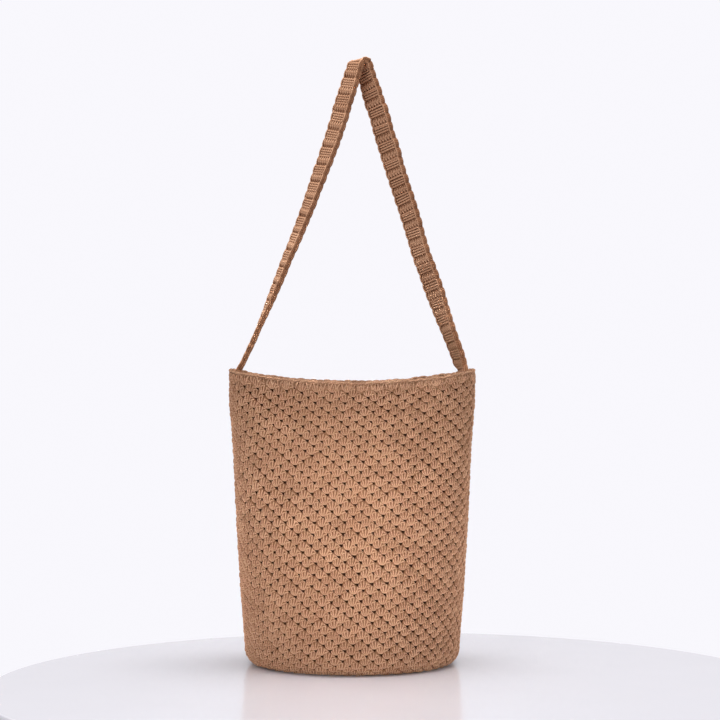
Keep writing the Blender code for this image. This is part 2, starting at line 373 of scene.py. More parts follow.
def guide_surface(name, grid, outward, row_places):
    """A grid of points as a mesh with a map of places on it and its outward directions.

    row_places holds the place of each point up the rows, from 0 to 1.
    """
    rows, columns = grid.shape[:2]
    index = np.arange(rows * columns).reshape(rows, columns)
    faces = np.stack((index[:-1, :-1], index[:-1, 1:], index[1:, 1:], index[1:, :-1]), axis=-1)
    faces = faces.reshape(-1, 4)
    mesh = bpy.data.meshes.new(name)
    mesh.from_pydata(grid.reshape(-1, 3).tolist(), [], faces.tolist(), shade_flat=False)
    across = np.tile(np.linspace(0.0, 1.0, columns), (rows, 1))
    places = np.stack((across, row_places), axis=-1).reshape(-1, 2)
    layer = mesh.uv_layers.new(name="place")
    layer.data.foreach_set("uv", places[faces.ravel()].astype(np.float32).ravel())
    attribute = mesh.attributes.new("outward", "FLOAT_VECTOR", "POINT")
    attribute.data.foreach_set("vector", outward.astype(np.float32).ravel())
    item = add_object(name, mesh)
    item.hide_render = True
    return item


def sag_at(shape, x):
    """How far the rim hangs below its height at the strap ends."""
    across = np.clip(np.abs(x) / (shape.mouth_width / 2), 0.0, 1.0)
    return shape.rim_sag * (1.0 - across ** 2)


def wall_levels(shape):
    """Outer sections of the wall from the middle of the foot to above the rim.

    Rows of half width, half depth, squareness, height and share of the sag.
    """
    foot_x = shape.foot_width / 2
    foot_y = shape.foot_depth / 2
    top = shape.bag_height - shape.edging_height
    levels = []
    for inset in LAP_INSETS:
        levels.append((foot_x - inset, foot_y - inset, 2.0, 0.0, 0.0))
    for bend in np.linspace(0.0, 0.5 * math.pi, CORNER_STEPS):
        inset = shape.corner_radius * (1.0 - math.sin(bend))
        height = shape.hip_height * (1.0 - math.cos(bend))
        levels.append((foot_x - inset, foot_y - inset, 2.0, height, 0.0))
    sections = smooth_rows(WALL_SECTIONS, SECTION_STEPS)[1:]
    for height_share, width_share, depth_share, squareness in sections:
        width = foot_x + (shape.mouth_width / 2 - foot_x) * width_share
        depth = foot_y + (shape.mouth_depth / 2 - foot_y) * depth_share
        height = shape.hip_height + (top - shape.hip_height) * height_share
        levels.append((width, depth, squareness, height, height_share ** SAG_POWER))
    width, depth, squareness, height, sag = levels[-1]
    levels.append((width, depth, squareness, height + TOP_SPARE, sag))
    return np.array(levels)


def hole_rows(distance, height, drop):
    """Distances along the wall's profile to each row of holes, from the foot up."""
    gauge_height, gauge_row, _ = np.array(ROW_GAUGE).T
    place = distance[-2] - drop
    places = []
    while place > distance[1] - FOOT_SLACK:
        places.append(place)
        place -= MM * np.interp(np.interp(place, distance, height) / MM, gauge_height, gauge_row)
    return np.array(places[::-1])


def wall_guide(shape, stitches):
    """Guide surface through the middle of the wall. Returns it and its number of rows."""
    levels = wall_levels(shape)
    profile = np.column_stack((levels[:, 1], levels[:, 3] - shape.rim_sag * levels[:, 4]))
    distance = travelled_along(profile)
    holes = hole_rows(distance, levels[:, 3], stitches.top_drop)
    rows = len(holes)
    # The guide has a line of points at every row and half row.
    numbers = np.arange(-ROWS_BELOW, rows + ROWS_ABOVE + 0.25, 0.5)
    above = holes[-1] + np.arange(1, 4) * ROW_ABOVE_RIM
    holes = np.concatenate(([2 * holes[0] - holes[1]], holes, above))
    wanted = np.interp(numbers, np.arange(-1.0, rows + 3.0), holes)
    grid = np.empty((len(numbers), WALL_COLUMNS + 1, 3))
    for row, place in zip(grid, wanted):
        width, depth, squareness, height, sag = (np.interp(place, distance, part) for part in levels.T)
        row[:, 0], row[:, 1] = squared_outline(width, depth, squareness, WALL_COLUMNS)
        row[:, 2] = height - sag_at(shape, row[:, 0]) * sag
    normals = surface_normals(grid)
    gauge_height, _, gauge_slope = np.array(ROW_GAUGE).T
    slope = np.interp(grid[:, WALL_COLUMNS // 2, 2] / MM, gauge_height, gauge_slope)
    shift = np.tan(np.radians(slope))[:, None] * grid[:, :, 0] / (MM * stitches.row_height)
    places = (numbers[:, None] - shift + ROWS_BELOW) / (rows + ROWS_BELOW + ROWS_ABOVE)
    grid -= 0.5 * shape.fabric_thickness * normals
    return guide_surface("wall_guide", grid, normals, places), rows


def rim_guide(shape):
    """Guide surface through the middle of the chain edging."""
    squareness = WALL_SECTIONS[-1][3]
    x, y = squared_outline(shape.mouth_width / 2, shape.mouth_depth / 2, squareness, RIM_COLUMNS)
    middle = shape.bag_height - shape.edging_height / 2
    grid = np.empty((3, RIM_COLUMNS + 1, 3))
    for row, rise in zip(grid, (-RIM_REACH, 0.0, RIM_REACH)):
        row[:, 0] = x
        row[:, 1] = y
        row[:, 2] = middle + rise - sag_at(shape, x)
    normals = surface_normals(grid)
    grid -= 0.5 * shape.fabric_thickness * normals
    places = np.repeat(np.array([[0.0], [0.5], [1.0]]), RIM_COLUMNS + 1, axis=1)
    return guide_surface("rim_guide", grid, normals, places)


def strap_path(shape, strap):
    """Centre line of the strap as rows of x, y, z and turn."""
    clear = shape.fabric_thickness / 2 + EDGING_HALF_WIDTH + CLEARANCE
    half_span = shape.mouth_width / 2 - clear - strap.thickness / 2
    rise = strap.rise - strap.thickness / 2
    slip = strap.fold_radius * math.sin(strap.fold_turn)

    def station(side_share, rise_share, turn):
        height = rise_share * (strap.tuck if rise_share < 0.0 else rise)
        depth = math.copysign(slip, side_share) * max(rise_share, 0.0)
        return (side_share * half_span, depth, shape.bag_height + height, math.radians(turn))

    centre_z = shape.bag_height + rise - strap.fold_radius
    fold = []
    arc = (math.radians(180.0 - FOLD_ARC_END), math.radians(FOLD_ARC_END))
    for bend in np.linspace(*arc, FOLD_STATIONS):
        reach = strap.fold_radius * math.cos(bend)
        x = strap.fold_offset + reach * math.cos(strap.fold_turn)
        y = reach * math.sin(strap.fold_turn)
        fold.append((x, y, centre_z + strap.fold_radius * math.sin(bend), strap.fold_turn))
    left = [station(*row) for row in LEFT_STATIONS]
    right = [station(*row) for row in RIGHT_STATIONS]
    return smooth_rows([*left, *fold, *right], PATH_STEPS)


def strap_guide(shape, strap):
    """Guide surface through the middle of the strap. Returns it and its length."""
    path = strap_path(shape, strap)
    distance = travelled_along(path[:, :3])
    before = path[0] - (path[1] - path[0]) * GUIDE_SPARE / distance[1]
    after = path[-1] + (path[-1] - path[-2]) * GUIDE_SPARE / (distance[-1] - distance[-2])
    path = np.vstack((before, path, after))
    distance = np.concatenate(([-GUIDE_SPARE], distance, [distance[-1] + GUIDE_SPARE]))
    wanted = np.linspace(distance[0], distance[-1], STRAP_SAMPLES)
    centre = np.column_stack([np.interp(wanted, distance, path[:, axis]) for axis in range(3)])
    turn = np.interp(wanted, distance, path[:, 3])
    tangent = np.gradient(centre, axis=0)
    tangent /= np.linalg.norm(tangent, axis=1, keepdims=True)
    across = np.column_stack((np.sin(turn), -np.cos(turn), np.zeros_like(turn)))
    across -= (across * tangent).sum(axis=1, keepdims=True) * tangent
    across /= np.linalg.norm(across, axis=1, keepdims=True)
    outward = np.cross(across, tangent)
    offsets = np.linspace(-STRAP_REACH, STRAP_REACH, STRAP_COLUMNS) * strap.width
    grid = centre[:, None, :] + offsets[None, :, None] * across[:, None, :]
    normals = np.repeat(outward[:, None, :], len(offsets), axis=1)
    places = np.repeat(np.linspace(0.0, 1.0, len(wanted))[:, None], len(offsets), axis=1)
    return guide_surface("strap_guide", grid, normals, places), distance[-2]


def shifted(strands, x=0.0, y=0.0, side=1.0, face=1.0):
    """Strands moved on the chart. side or face of -1 mirrors them first."""
    return [tuple((side * p[0] + x, p[1] + y, face * p[2]) for p in strand) for strand in strands]


def ring_faces(first, rings, sides):
    """Faces of a closed tube of rings of points, the first of them at the index first."""
    faces = []
    for ring in range(rings - 1):
        low = first + ring * sides
        high = low + sides
        for corner in range(sides):
            nearby = (corner + 1) % sides
            faces.append((low + corner, high + corner, high + nearby, low + nearby))
    last = first + (rings - 1) * sides
    faces.append(tuple(range(first, first + sides)))
    faces.append(tuple(reversed(range(last, last + sides))))
    return faces


class Chart:
    """Collects the strands of one stitch, and makes them a mesh."""

    def __init__(self):
        self.points = []
        self.lifts = []
        self.faces = []
        self.yarn = []

    def strands(self, strands, radius, segments=3, sides=5, least_lift=0.0):
        """Add round strands, each bent through its three points. radius in millimetres.

        least_lift spares strands at an edge from the painted hollow shade, as if they stood so high.
        """
        for strand in strands:
            self.tube(np.array(strand), radius, segments, sides, least_lift)

    def tube(self, corners, radius, segments, sides, least_lift):
        """One closed strand of yarn along a smooth curve through its corners."""
        share = np.linspace(0.0, 1.0, segments + 1)[:, None]
        start, middle, end = corners
        control = 2 * middle - 0.5 * (start + end)
        centre = (1 - share) ** 2 * start + 2 * share * (1 - share) * control + share ** 2 * end
        along = np.gradient(centre, axis=0)
        along /= np.linalg.norm(along, axis=1, keepdims=True)
        side = np.cross(along, (0.0, 0.0, 1.0))
        side /= np.linalg.norm(side, axis=1, keepdims=True)
        lift = np.cross(side, along)
        first = len(self.points)
        length = travelled_along(centre)
        for ring in range(segments + 1):
            for corner in range(sides):
                angle = 2 * math.pi * corner / sides
                offset = math.cos(angle) * lift[ring] + math.sin(angle) * side[ring]
                point = centre[ring] + radius * offset
                self.points.append(point * MM)
                # The height out of the fabric on either face, which sets the painted hollow shade.
                self.lifts.append(max(abs(point[2]), least_lift) * MM)
        self.faces += ring_faces(first, segments + 1, sides)
        for near, far in zip(length, length[1:]):
            for corner in range(sides):
                here, there = corner / sides, (corner + 1) / sides
                self.yarn += [(near, here), (far, here), (far, there), (near, there)]
        self.yarn += [(0.0, 0.5)] * (2 * sides)

    def mat(self, size, pit, levels, place=(0.0, 0.0)):
        """A mat of yarn with a pit on both faces.

        size is its width and height, pit the pit's low, right, high and left
        corners, and levels its top and bottom. A thin web closes the pit in the
        middle; the painted hollow shade darkens the mat and makes the web nearly
        black, in place of the shade seen through a hole.
        """
        first = len(self.points)
        x, y = size[0] / 2, size[1] / 2
        top, bottom = levels
        outer = ((-x, -y), (x, -y), (x, y), (-x, y))
        # The web in the pit, so low that the painted hollow shade makes it nearly black.
        web = (pit, WEB_LEVEL), (pit, -WEB_LEVEL)
        loops = ((outer, top), (pit, top), *web, (pit, bottom), (outer, bottom))
        for loop, level in loops:
            for corner in loop:
                self.points.append(np.array((corner[0] + place[0], corner[1] + place[1], level)) * MM)
                self.lifts.append(abs(level) * MM)
        made = [(8, 9, 10, 11), (15, 14, 13, 12)]
        for step in range(4):
            after = (step + 1) % 4
            made += [
                (step, after, 4 + step),
                (4 + step, after, 4 + after),
                (4 + after, 8 + after, 8 + step, 4 + step),
                (12 + after, 16 + after, 16 + step, 12 + step),
                (20 + after, 20 + step, 16 + step),
                (20 + after, 16 + step, 16 + after),
                (step, 20 + step, 20 + after, after),
            ]
        for face in made:
            self.faces.append(tuple(first + corner for corner in face))
            self.yarn += [(0.0, 0.5)] * len(face)

    def make(self, name):
        """The charted stitch as an object, for the nodes to repeat."""
        mesh = bpy.data.meshes.new(name)
        mesh.from_pydata([tuple(p) for p in self.points], [], self.faces, shade_flat=False)
        layer = mesh.uv_layers.new(name="yarn")
        layer.data.foreach_set("uv", np.array(self.yarn, dtype=np.float32).ravel())
        attribute = mesh.attributes.new("lift", "FLOAT", "POINT")
        attribute.data.foreach_set("value", np.array(self.lifts, dtype=np.float32))
        item = add_object(name, mesh)
        item.hide_render = True
        return item


def add_node(tree, kind, inputs=(), **settings):
    """Add a node, set it up, and give its inputs values or links."""
    node = tree.nodes.new(kind)
    for name, value in settings.items():
        setattr(node, name, value)
    for key, value in dict(inputs).items():
        if isinstance(value, bpy.types.NodeSocket):
            tree.links.new(value, node.inputs[key])
        else:
            node.inputs[key].default_value = value
    return node


def result(tree, kind, inputs=(), **settings):
    """First output of a new node."""
    return add_node(tree, kind, inputs, **settings).outputs[0]


def maths(tree, operation, first, second=0.0, third=0.0):
    """Result of a Math node."""
    values = {0: first, 1: second, 2: third}
    return result(tree, "ShaderNodeMath", values, operation=operation)


def vector_maths(tree, operation, first, second):
    """Result of a Vector Math node. The second value of a scaling is its scale."""
    values = {0: first, "Scale" if operation == "SCALE" else 1: second}
    return result(tree, "ShaderNodeVectorMath", values, operation=operation)


def combine(tree, x=0.0, y=0.0, z=0.0):
    """A vector of three numbers."""
    return result(tree, "ShaderNodeCombineXYZ", {0: x, 1: y, 2: z})


def separate(tree, vector):
    """The three numbers of a vector."""
    return add_node(tree, "ShaderNodeSeparateXYZ", {0: vector}).outputs


def named_vector(tree, name):
    """A vector that the guide surface holds under a name."""
    return result(
        tree, "GeometryNodeInputNamedAttribute", {0: name}, data_type="FLOAT_VECTOR"
    )


def random_number(tree, given, extra, low=-1.0):
    """A random number up to 1 for each stitch, always the same for one seed."""
    values = {2: low, 3: 1.0, 8: maths(tree, "ADD", given["Seed"], float(extra))}
    return add_node(tree, "FunctionNodeRandomValue", values, data_type="FLOAT").outputs[1]


def stray(tree, given, extra, most):
    """A random number for each stitch, either way by as much as the input named most."""
    return maths(tree, "MULTIPLY", random_number(tree, given, extra), given[most])


def open_tree(name, inputs):
    """A new Geometry Nodes tree with named inputs. Returns it with its input sockets."""
    tree = bpy.data.node_groups.new(name, "GeometryNodeTree")
    tree.interface.new_socket("Geometry", in_out="INPUT", socket_type="NodeSocketGeometry")
    for label, kind, value in inputs:
        socket = tree.interface.new_socket(label, in_out="INPUT", socket_type="NodeSocket" + kind)
        if value is not None:
            socket.default_value = value
    tree.interface.new_socket("Geometry", in_out="OUTPUT", socket_type="NodeSocketGeometry")
    return tree, tree.nodes.new("NodeGroupInput").outputs


def place_stitches(tree, given, points, position, heading):
    """Put a charted stitch on each point, a little uneven, with its own tone."""
    shake = [stray(tree, given, extra, "Wander") for extra in (1, 2, 3)]
    # In and out of the fabric they stray half as far as along it.
    shake[2] = maths(tree, "MULTIPLY", shake[2], 0.5)
    position = vector_maths(tree, "ADD", position, combine(tree, *shake))
    points = result(tree, "GeometryNodeSetPosition", {0: points, 2: position})
    heading = maths(tree, "ADD", heading, stray(tree, given, 4, "Tilt"))
    turn = result(tree, "FunctionNodeEulerToRotation", {0: combine(tree, z=heading)})
    sizes = [maths(tree, "ADD", stray(tree, given, extra, "Uneven"), 1.0) for extra in (5, 6, 7)]
    chart = add_node(tree, "GeometryNodeObjectInfo", {0: given["Stitch"]}).outputs["Geometry"]
    values = {0: points, 2: chart, 5: turn, 6: combine(tree, *sizes)}
    stitches = result(tree, "GeometryNodeInstanceOnPoints", values)
    values = {0: stitches, 2: "tone", 3: random_number(tree, given, 8, low=0.0)}
    stitches = result(
        tree, "GeometryNodeStoreNamedAttribute", values, data_type="FLOAT", domain="INSTANCE"
    )
    return result(tree, "GeometryNodeRealizeInstances", {0: stitches})


def close_tree(tree, given, geometry, position):
    """Move the points to their places, none below the floor, and give them their yarn."""
    x, y, height = separate(tree, position)
    position = combine(tree, x, y, maths(tree, "MAXIMUM", height, LEAST_HEIGHT))
    geometry = result(tree, "GeometryNodeSetPosition", {0: geometry, 2: position})
    values = {0: geometry, 2: given["Yarn"]}
    geometry = result(tree, "GeometryNodeSetMaterial", values)
    tree.links.new(geometry, tree.nodes.new("NodeGroupOutput").inputs[0])


STITCH_INPUTS = (
    # label, kind, value
    ("Stitch", "Object", None),
    ("Yarn", "Material", None),
    ("Count", "Int", 10),
    ("Rows", "Int", 10),
    ("Spacing", "Float", 0.0145),
    ("Row height", "Float", 0.0053),
    ("Wander", "Float", 0.0002),
    ("Tilt", "Float", 0.05),
    ("Uneven", "Float", 0.05),
    ("Seed", "Int", 1),
)


def make_rows_tree():
    """Nodes that repeat a stitch in rows and bend them over a guide surface."""
    inputs = STITCH_INPUTS + (
        ("Guide", "Object", None),
        ("First row", "Int", 0),
        ("Stagger", "Float", 0.0),
        ("Guide start", "Vector", (0.0, 0.0, 0.0)),
        ("Guide size", "Vector", (1.0, 1.0, 1.0)),
        ("Joined", "Bool", True),
    )
    tree, given = open_tree("Crochet rows", inputs)
    total = maths(tree, "MULTIPLY", given["Count"], given["Rows"])
    points = result(tree, "GeometryNodePoints", {0: total})
    index = result(tree, "GeometryNodeInputIndex")
    row = maths(tree, "FLOOR", maths(tree, "DIVIDE", maths(tree, "ADD", index, 0.5), given["Count"]))
    column = maths(tree, "SUBTRACT", index, maths(tree, "MULTIPLY", row, given["Count"]))
    row = maths(tree, "ADD", row, given["First row"])
    column = maths(tree, "ADD", column, maths(tree, "MULTIPLY", row, given["Stagger"]))
    x = maths(tree, "MULTIPLY", column, given["Spacing"])
    y = maths(tree, "MULTIPLY", row, given["Row height"])
    yarn = place_stitches(tree, given, points, combine(tree, x, y), 0.0)
    position = result(tree, "GeometryNodeInputPosition")
    out = separate(tree, position)[2]
    place = vector_maths(tree, "SUBTRACT", position, given["Guide start"])
    place = vector_maths(tree, "DIVIDE", place, given["Guide size"])
    across, up, _ = separate(tree, place)
    values = {0: given["Joined"], 1: across, 2: maths(tree, "FRACT", across)}
    across = result(tree, "GeometryNodeSwitch", values, input_type="FLOAT")
    place = combine(tree, across, up)
    surface = add_node(tree, "GeometryNodeObjectInfo", {0: given["Guide"]}).outputs["Geometry"]
    chart = named_vector(tree, "place")
    spot = result(tree, "GeometryNodeInputPosition")
    sampled = []
    for value in (spot, named_vector(tree, "outward")):
        values = {0: surface, 1: value, 2: chart, 3: place}
        sampled.append(
            result(tree, "GeometryNodeSampleUVSurface", values, data_type="FLOAT_VECTOR")
        )
    lifted = vector_maths(tree, "SCALE", sampled[1], out)
    close_tree(tree, given, yarn, vector_maths(tree, "ADD", sampled[0], lifted))
    return tree


def make_round_tree():
    """Nodes that lay stitches in a flat spiral, facing down, and fit it to an oval."""
    inputs = STITCH_INPUTS + (
        ("Oval", "Vector", (1.0, 1.0, 1.0)),
        ("Middle height", "Float", 0.0024),
    )
    tree, given = open_tree("Crochet round", inputs)
    points = result(tree, "GeometryNodePoints", {0: given["Count"]})
    index = result(tree, "GeometryNodeInputIndex")
    step = maths(tree, "MULTIPLY", maths(tree, "ADD", index, 0.5), given["Spacing"])
    turn = maths(tree, "DIVIDE", maths(tree, "MULTIPLY", step, 4 * math.pi), given["Row height"])
    turn = maths(tree, "SQRT", turn)
    radius = maths(tree, "MULTIPLY", maths(tree, "DIVIDE", turn, 2 * math.pi), given["Row height"])
    x = maths(tree, "MULTIPLY", radius, maths(tree, "COSINE", turn))
    y = maths(tree, "MULTIPLY", radius, maths(tree, "SINE", turn))
    heading = maths(tree, "SUBTRACT", turn, math.pi / 2)
    yarn = place_stitches(tree, given, points, combine(tree, x, y), heading)
    position = result(tree, "GeometryNodeInputPosition")
    position = vector_maths(tree, "MULTIPLY", position, given["Oval"])
    raised = combine(tree, z=given["Middle height"])
    close_tree(tree, given, yarn, vector_maths(tree, "ADD", position, raised))
    return tree


def crochet(name, tree, **values):
    """Run a tree with the given inputs and keep the result as a plain mesh object."""
    carrier = add_object(name + "_nodes", bpy.data.meshes.new(name + "_nodes"))
    modifier = carrier.modifiers.new("stitches", "NODES")
    modifier.node_group = tree
    for socket in tree.interface.items_tree:
        key = socket.name.lower().replace(" ", "_")
        if key in values:
            modifier[socket.identifier] = values[key]
    carrier.update_tag()
    depsgraph = bpy.context.evaluated_depsgraph_get()
    mesh = bpy.data.meshes.new_from_object(carrier.evaluated_get(depsgraph))
    if not mesh.polygons:
        raise RuntimeError(f"{name}: the nodes made no stitches")
    mesh.name = name
    bpy.data.objects.remove(carrier)
    return add_object(name, mesh)


def unevenness(gauge, added_seed, share=1.0):
    """Inputs that make the stitches differ a little."""
    tilt, uneven = share * gauge.tilt, share * gauge.uneven
    return {"wander": gauge.wander, "tilt": tilt, "uneven": uneven, "seed": gauge.seed + added_seed}


def put_away(*items):
    """Remove charts and guides that are no longer needed."""
    for item in items:
        bpy.data.objects.remove(item)


def dress(piece, node):
    """Hang the piece on the body that it rides on, and hide the part that it stands for."""
    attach(piece, BODY)
    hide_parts(node)


def new_material(name):
    """A new material. Returns it with its node tree and its shader."""
    material = bpy.data.materials.new(name)
    material.use_nodes = True
    return material, material.node_tree, material.node_tree.nodes["Principled BSDF"]


def yarn_material(name, yarn, hollow):
    """Matte twisted cotton: tone by stitch, soft blotches, twist and fibres.

    hollow is the brightness left by the painted shade in the middle of the
    fabric. The colour also carries painted shade: darker the lower a point lies
    in the fabric, and darker on the flanks of each strand.
    """
    material, tree, shader = new_material(name)
    coordinates = add_node(tree, "ShaderNodeTexCoord").outputs["Object"]
    tone = add_node(tree, "ShaderNodeAttribute", attribute_name="tone").outputs["Fac"]
    lift = add_node(tree, "ShaderNodeAttribute", attribute_name="lift").outputs["Fac"]
    along, around, _ = separate(tree, result(tree, "ShaderNodeUVMap", uv_map="yarn"))
    ply = maths(tree, "MULTIPLY", around, PLY_COUNT)
    ply = maths(tree, "ADD", maths(tree, "MULTIPLY", along, PLY_TWIST), ply)
    ply = maths(tree, "SINE", maths(tree, "MULTIPLY", ply, 2 * math.pi))
    mix = maths(tree, "MULTIPLY_ADD", tone, TONE_SPREAD, TONE_START)
    for scale, detail, spread in (BLOTCH, FIBRE):
        noise = result(tree, "ShaderNodeTexNoise", {0: coordinates, 2: scale, 3: detail})
        mix = maths(tree, "MULTIPLY_ADD", maths(tree, "SUBTRACT", noise, 0.5), spread, mix)
    mix = maths(tree, "MULTIPLY_ADD", ply, PLY_SPREAD, mix)
    ramp = add_node(tree, "ShaderNodeValToRGB", {0: mix})
    stops = ramp.color_ramp.elements
    stops.new(RAMP_PLACES[1])
    # The ramp's colours are scaled by each piece's painted light.
    for stop, place, colour in zip(stops, RAMP_PLACES, (yarn.dark, yarn.middle, yarn.light)):
        stop.position = place
        stop.color = (*(part * PAINTED_LIGHT[name] for part in colour), 1.0)
    # Painted shade in the hollows: the lower a point lies in the fabric, the darker its colour, down
    # to hollow.
    values = {0: lift, 1: SHADE_LIFTS[0], 2: SHADE_LIFTS[1], 3: hollow, 4: 1.0}
    depth = result(tree, "ShaderNodeMapRange", values)
    # Painted shade on the flanks of each strand, down to flank at its sides.
    painted_flank_shade = maths(tree, "COSINE", maths(tree, "MULTIPLY", around, 4 * math.pi))
    painted_flank_shade = maths(tree, "MULTIPLY_ADD", painted_flank_shade, 0.5 * (1.0 - yarn.flank), 0.5 * (1.0 + yarn.flank))
    # The painted shade darkens green and blue faster than red, so it turns warmer.
    red = maths(tree, "MULTIPLY", depth, painted_flank_shade)
    shade = combine(tree, red, *(maths(tree, "POWER", red, fall) for fall in SHADE_FALLS))
    colour = vector_maths(tree, "MULTIPLY", ramp.outputs[0], shade)
    tree.links.new(colour, shader.inputs["Base Color"])
    relief = maths(tree, "MULTIPLY", noise, FIBRE_RELIEF)
    relief = maths(tree, "MULTIPLY_ADD", ply, PLY_RELIEF, relief)
    bump = result(tree, "ShaderNodeBump", {"Height": relief, **RELIEF})
    tree.links.new(bump, shader.inputs["Normal"])
    for label, value in FINISH.items():
        shader.inputs[label].default_value = value
    shader.inputs["Sheen Weight"].default_value = yarn.sheen
    shader.inputs["Sheen Tint"].default_value = (*yarn.light, 1.0)
    return material


def setting(make, label, description, value, **extras):
    """A value that a user may change."""
    return make(name=label, description=description, default=value, **extras)


length_setting = partial(
    setting, bpy.props.FloatProperty, min=0.0, unit="LENGTH", precision=4
)
number_setting = partial(setting, bpy.props.FloatProperty, precision=3)
angle_setting = partial(setting, bpy.props.FloatProperty, subtype="ANGLE")
count_setting = partial(setting, bpy.props.IntProperty, min=1)
colour_setting = partial(
    setting, bpy.props.FloatVectorProperty, size=3, min=0.0, max=1.0, subtype="COLOR"
)


class ToteShape(bpy.types.PropertyGroup):
    """Sizes of the bag."""

    bag_height: length_setting("Bag height", "Height of the rim at the strap ends", 0.2935)
    rim_sag: length_setting("Rim sag", "How far the rim hangs between the strap ends", 0.0115)
    mouth_width: length_setting("Mouth width", "Outer width of the mouth", 0.2440)
    mouth_depth: length_setting("Mouth depth", "Outer depth of the mouth", 0.1330)
    foot_width: length_setting("Foot width", "Outer width above the rounded bottom", 0.2140)
    foot_depth: length_setting("Foot depth", "Outer depth above the rounded bottom", 0.2060)
    corner_radius: length_setting("Corner reach", "How far the bottom corner reaches in", 0.0145)
    hip_height: length_setting("Corner height", "How high the bottom corner rises", 0.0160)
    fabric_thickness: length_setting("Fabric thickness", "Thickness of the fabric", 0.0048)
    edging_height: length_setting("Edging height", "Height of the chain edging", 0.0042)


class ToteStrap(bpy.types.PropertyGroup):
    """Sizes of the shoulder strap."""

    width: length_setting("Width", "Width of the band", 0.0270)
    thickness: length_setting("Thickness", "Thickness of the band", 0.0060)
    rise: length_setting("Rise", "Height of the strap above the rim", 0.3110)
    tuck: length_setting("Tuck", "Length sewn inside the wall", 0.0350)
    repeat: length_setting("Repeat", "Length of two rows of the band", 0.0184)
    fold_radius: length_setting("Fold radius", "Radius of the fold at the top", 0.0048)
    fold_offset: length_setting("Fold offset", "How far the fold stands to the right", 0.0075)
    fold_turn: angle_setting("Fold turn", "Turn of the fold about the vertical", math.radians(28.0))


class ToteStitches(bpy.types.PropertyGroup):
    """Gauge of the crochet."""

    wall_count: count_setting("Stitches in a round", "Fans of stitches in one round of the wall", 46)
    link_count: count_setting("Edging links", "Links of the chain round the mouth", 96)
    base_count: count_setting("Base stitches", "Stitches in the round that closes the foot", 430)
    wall_spacing: length_setting("Stitch spacing", "Charted width of a fan of stitches", 0.0145)
    row_height: number_setting("Row height", "Charted height of a row, in millimetres", 5.3)
    stagger: number_setting("Stagger", "Shift from row to row, as a share of a stitch", 0.565)
    top_drop: length_setting("Top drop", "Distance from the top edge to the first holes", 0.0074)
    strand: number_setting("Strand radius", "Radius of the yarn, in millimetres", 1.05)
    wander: length_setting("Wander", "How far a stitch may stray from its place", 0.0005)
    tilt: angle_setting("Tilt", "How far a stitch may lean", math.radians(5.5))
    uneven: number_setting("Unevenness", "How much the size of stitches differs", 0.08)
    seed: count_setting("Seed", "Another number gives other small differences", 7)


class ToteYarn(bpy.types.PropertyGroup):
    """Colours of the yarn."""

    light: colour_setting("Light", "Raised, bright fibres", (0.77, 0.477, 0.302))
    middle: colour_setting("Middle", "Main colour of the cotton", (0.633, 0.361, 0.220))
    dark: colour_setting("Dark", "Shaded and darker fibres", (0.385, 0.190, 0.103))
    hollow: number_setting("Hollow shade", "Brightness left in the hollows of the fabric", 0.04)
    gap: number_setting("Gap shade", "Brightness left between the strands of rim and strap", 0.4)
    flank: number_setting("Flank shade", "Brightness left on the flanks of a strand", 0.4)
    sheen: number_setting("Sheen", "Soft sheen of the cotton fibres", 0.25)


class ToteStudio(bpy.types.PropertyGroup):
    """The floor, the lights and the camera."""

    floor: colour_setting("Floor", "Colour of the floor", (0.925, 0.912, 0.965))
    backdrop: colour_setting("Backdrop", "Colour of the room", (0.945, 0.935, 0.98))
    floor_radius: length_setting("Floor radius", "Radius of the round floor", 0.379)
    room_light: number_setting("Room light", "Strength of the light from all round", 0.57)
    key_power: number_setting("Key light", "Power of the large soft light at the left, in watts", 7.0)
    front_power: number_setting("Front light", "Power of the narrow front light, in watts", 0.26)
    top_power: number_setting("Top light", "Power of the light overhead, in watts", 16.0)
    focal: number_setting("Focal length", "Focal length of the camera, in millimetres", 105.0)


class CROCHET_OT_base(bpy.types.Operator):
    """Crochet the flat round that closes the foot"""

    bl_idname = "crochet.base"
    bl_label = "Base round"

    def execute(self, context):
        scene = context.scene
        gauge = scene.tote_stitches
        chart = Chart()
        for strands in (ROUND_LEGS, ROUND_CHAIN, ROUND_BACK):
            chart.strands(shifted(strands, face=-1.0), gauge.strand)
        chart.mat(ROUND_MAT, ROUND_PIT, ROUND_LEVELS)
        stitch = chart.make("base_stitch")
        low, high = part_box("bag_base")
        radius = math.sqrt(gauge.base_count * BASE_SPACING * BASE_ROW / math.pi)
        radius += BASE_EDGE_SHARE * BASE_ROW
        piece = crochet(
            "base_round",
            make_round_tree(),
            stitch=stitch,
            yarn=yarn_material("base_yarn", scene.tote_yarn, scene.tote_yarn.hollow),
            count=gauge.base_count,
            spacing=BASE_SPACING,
            row_height=BASE_ROW,
            oval=((high.x - low.x) / 2 / radius, (high.y - low.y) / 2 / radius, 1.0),
            middle_height=(high.z + low.z) / 2,
            **unevenness(gauge, 0),
        )
        dress(piece, "bag_base")
        put_away(stitch)
        return {"FINISHED"}


